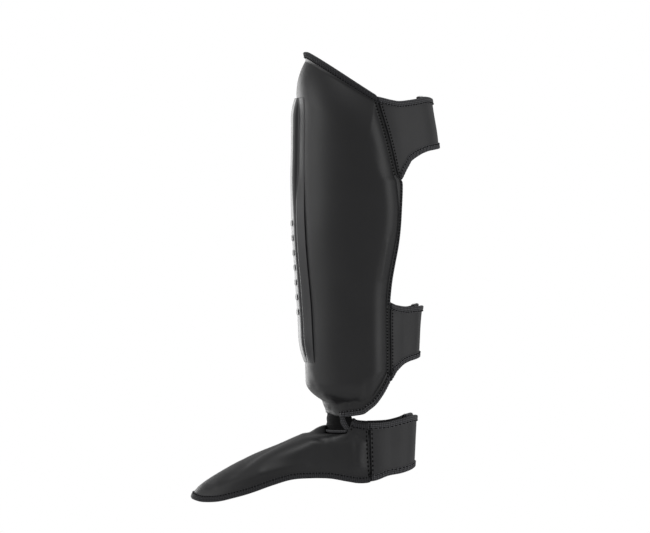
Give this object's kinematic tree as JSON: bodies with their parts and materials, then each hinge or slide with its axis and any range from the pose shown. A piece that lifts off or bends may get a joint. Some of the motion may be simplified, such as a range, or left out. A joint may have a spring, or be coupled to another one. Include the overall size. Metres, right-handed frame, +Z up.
{
  "type": "shin and instep guard",
  "caption": "Padded guard for the shin and instep: an open-backed shell with a raised front ridge, a stretch ankle panel and an instep guard, held by overlapping elastic straps.",
  "frame": {"origin": "centre of the ankle opening, between the shell's bottom edge and the instep guard's collar", "axes": "+Z up the leg, -Y towards the toes, +X the wearer's left"},
  "size_m": [0.14, 0.2622, 0.4707],
  "materials": {
    "cover": "satin grained synthetic leather over foam",
    "ridge": "smooth satin synthetic leather over foam",
    "strap": "matt synthetic leather with elastic",
    "tape": "matt woven binding tape",
    "loop": "matt loop pile",
    "stretch": "matt knitted stretch cloth"
  },
  "bodies": {
    "root": {"shin_shell": "cover", "instep_guard": "cover", "shin_ridge": "ridge", "ankle_link": "stretch", "upper_strap": "strap", "upper_strap_tab": "strap", "lower_strap": "strap", "lower_strap_tab": "strap", "heel_strap": "strap", "heel_strap_tab": "strap", "top_binding": "tape", "rear_binding_left": "tape", "rear_binding_right": "tape", "hem_binding_left": "tape", "hem_binding_right": "tape", "instep_binding": "tape", "collar_binding_left": "tape", "collar_binding_right": "tape", "link_binding_left": "tape", "link_binding_right": "tape", "ankle_welt": "tape", "upper_strap_top_binding": "tape", "upper_strap_bottom_binding": "tape", "upper_strap_tab_top_binding": "tape", "upper_strap_tab_bottom_binding": "tape", "lower_strap_top_binding": "tape", "lower_strap_bottom_binding": "tape", "lower_strap_tab_top_binding": "tape", "lower_strap_tab_bottom_binding": "tape", "heel_strap_top_binding": "tape", "heel_strap_bottom_binding": "tape", "heel_strap_tab_top_binding": "tape", "heel_strap_tab_bottom_binding": "tape", "upper_strap_loop_patch": "loop", "lower_strap_loop_patch": "loop", "heel_strap_loop_patch": "loop"}
  },
  "joints": []
}
